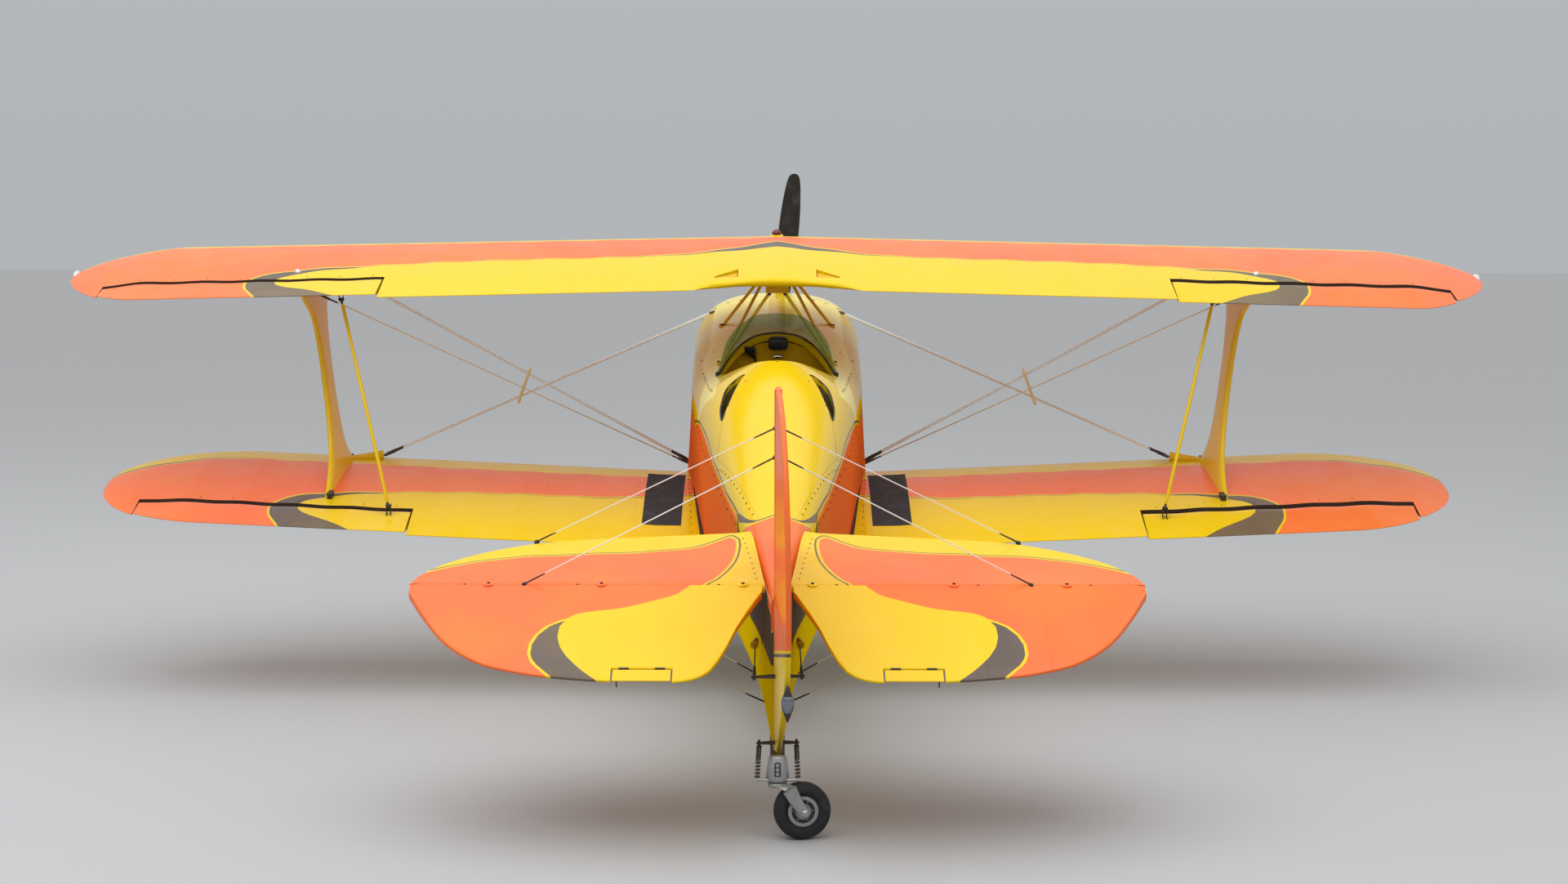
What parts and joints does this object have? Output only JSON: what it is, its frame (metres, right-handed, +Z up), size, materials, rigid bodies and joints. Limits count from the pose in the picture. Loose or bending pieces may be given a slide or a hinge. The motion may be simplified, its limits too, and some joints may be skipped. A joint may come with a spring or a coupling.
{
  "type": "single-seat aerobatic biplane with tailwheel gear",
  "caption": "Full-size open-cockpit aerobatic biplane on its wheels, with turning propeller, swivelling tailwheel and coupled control surfaces.",
  "frame": {"origin": "on the floor under the middle of the whole aircraft's box, parked on its three wheels", "axes": "+X to starboard along the wing span, +Y forward towards the propeller, +Z up from the floor"},
  "size_m": [5.286, 4.7082, 1.899],
  "materials": {
    "body_yellow": "gloss golden yellow paint",
    "body_orange": "gloss orange paint with a yellow top deck",
    "wing_cover": "doped fabric, gloss orange and yellow with grey stripes",
    "tail_cover": "doped fabric, gloss yellow and orange with grey stripes",
    "steel": "bright stainless",
    "casting": "dull cast",
    "engine_metal": "rough",
    "propeller_black": "matt black",
    "green_tint": "clear green tinted sheet",
    "upholstery": "black padded",
    "grip": "matt black",
    "tyre_rubber": "dusty black"
  },
  "bodies": {
    "airframe": {"fuselage": "body_orange", "forward_deck": "body_yellow", "turtledeck": "body_yellow", "cowling": "body_yellow", "engine_block": "engine_metal", "exhaust_right": "steel", "exhaust_left": "steel", "windscreen": "green_tint", "instrument_panel": "body_yellow", "seat": "upholstery", "control_stick": "grip", "upper_wing": "wing_cover", "lower_wing_right": "wing_cover", "lower_wing_left": "wing_cover", "interplane_strut_right": "body_yellow", "interplane_strut_left": "body_yellow", "cabane_struts": "body_yellow", "flying_wires_right": "steel", "flying_wires_left": "steel", "flying_wire_rear_right": "steel", "flying_wire_rear_left": "steel", "landing_wires_right": "steel", "landing_wires_left": "steel", "fin": "tail_cover", "stabiliser_right": "tail_cover", "stabiliser_left": "tail_cover", "gear_truss": "steel", "gear_leg_right": "body_yellow", "gear_leg_left": "body_yellow", "wheel_pant_right": "body_yellow", "wheel_pant_left": "body_yellow", "tail_spring": "steel", "tailwheel_bracket": "casting"},
    "propeller": {"propeller": "propeller_black", "spinner": "body_yellow"},
    "main_wheel_right": {"main_tyre_right": "tyre_rubber", "main_hub_right": "casting"},
    "main_wheel_left": {"main_tyre_left": "tyre_rubber", "main_hub_left": "casting"},
    "tailwheel_swivel": {"tailwheel_fork": "casting"},
    "tailwheel": {"tailwheel_tyre": "tyre_rubber", "tailwheel_hub": "casting"},
    "rudder": {"rudder": "tail_cover"},
    "elevators": {"elevator_right": "tail_cover", "elevator_left": "tail_cover"},
    "trim_tab_right": {"trim_tab_right": "body_yellow"},
    "trim_tab_left": {"trim_tab_left": "body_yellow"},
    "aileron_lower_left": {"aileron_lower_left": "wing_cover"},
    "aileron_lower_right": {"aileron_lower_right": "wing_cover"},
    "aileron_upper_left": {"aileron_upper_left": "wing_cover"},
    "aileron_upper_right": {"aileron_upper_right": "wing_cover"},
    "slave_strut_left": {"slave_strut_left": "body_yellow"},
    "slave_strut_right": {"slave_strut_right": "body_yellow"}
  },
  "joints": [
    {"name": "propeller_spin", "type": "hinge", "parent": "airframe", "child": "propeller", "pos_m": [0, 2.12739, 1.13788], "axis": [0, 0.9858, 0.1677], "continuous": true},
    {"name": "wheel_spin_right", "type": "hinge", "parent": "airframe", "child": "main_wheel_right", "pos_m": [0.76, 1.32673, 0.18], "axis": [1, 0, 0], "continuous": true},
    {"name": "wheel_spin_left", "type": "hinge", "parent": "airframe", "child": "main_wheel_left", "pos_m": [-0.76, 1.32673, 0.18], "axis": [1, 0, 0], "continuous": true},
    {"name": "tailwheel_swivel", "type": "hinge", "parent": "airframe", "child": "tailwheel_swivel", "pos_m": [0, -2.07469, 0.08], "axis": [0, 0, 1], "continuous": true},
    {"name": "tailwheel_spin", "type": "hinge", "parent": "tailwheel_swivel", "child": "tailwheel", "pos_m": [0.06894, -2.06254, 0.08], "axis": [-0.1736, 0.9848, 0], "continuous": true},
    {"name": "rudder_hinge", "type": "hinge", "parent": "airframe", "child": "rudder", "pos_m": [0, -1.94615, 1.05336], "axis": [0, -0.1677, 0.9858], "range_deg": [-33.5, 26.5]},
    {"name": "elevator_hinge", "type": "hinge", "parent": "airframe", "child": "elevators", "pos_m": [0, -1.76363, 0.65432], "axis": [1, 0, 0], "range_deg": [-38.5, 11.5]},
    {"name": "trim_tab_left_hinge", "type": "hinge", "parent": "elevators", "child": "trim_tab_left", "pos_m": [0, -2.14795, 0.48994], "axis": [1, 0, 0], "range_deg": [-20, 20]},
    {"name": "trim_tab_right_hinge", "type": "hinge", "parent": "elevators", "child": "trim_tab_right", "pos_m": [0, -2.14795, 0.48994], "axis": [1, 0, 0], "range_deg": [-20, 20]},
    {"name": "aileron_lower_left_hinge", "type": "hinge", "parent": "airframe", "child": "aileron_lower_left", "pos_m": [-1.342, 0.30783, 0.6218], "axis": [0.9989, 0.0079, -0.0464], "range_deg": [-17, 23]},
    {"name": "aileron_lower_right_hinge", "type": "hinge", "parent": "airframe", "child": "aileron_lower_right", "pos_m": [1.342, 0.30783, 0.6218], "axis": [0.9989, -0.0079, 0.0464], "range_deg": [-23, 17]},
    {"name": "aileron_upper_left_hinge", "type": "hinge", "parent": "airframe", "child": "aileron_upper_left", "pos_m": [-1.461, 0.46596, 1.46768], "axis": [0.993, 0.1167, 0.0199], "range_deg": [-17, 23]},
    {"name": "aileron_upper_right_hinge", "type": "hinge", "parent": "airframe", "child": "aileron_upper_right", "pos_m": [1.461, 0.46596, 1.46768], "axis": [0.993, -0.1167, -0.0199], "range_deg": [-23, 17]},
    {"name": "slave_strut_left_pin", "type": "hinge", "parent": "aileron_lower_left", "child": "slave_strut_left", "pos_m": [-1.418, 0.24922, 0.66821], "axis": [0.9989, 0.0079, -0.0464], "range_deg": [-26.5, 20]},
    {"name": "slave_strut_right_pin", "type": "hinge", "parent": "aileron_lower_right", "child": "slave_strut_right", "pos_m": [1.418, 0.24922, 0.66821], "axis": [0.9989, -0.0079, 0.0464], "range_deg": [-20, 26.5]}
  ],
  "couplings": [
    {"joint": "aileron_upper_left_hinge", "follows": "aileron_lower_left_hinge", "ratio": 1},
    {"joint": "aileron_lower_right_hinge", "follows": "aileron_lower_left_hinge", "ratio": -1},
    {"joint": "aileron_upper_right_hinge", "follows": "aileron_lower_left_hinge", "ratio": -1},
    {"joint": "slave_strut_left_pin", "follows": "aileron_lower_left_hinge", "ratio": -1.13},
    {"joint": "slave_strut_right_pin", "follows": "aileron_lower_left_hinge", "ratio": 1.13},
    {"joint": "trim_tab_right_hinge", "follows": "trim_tab_left_hinge", "ratio": 1}
  ]
}
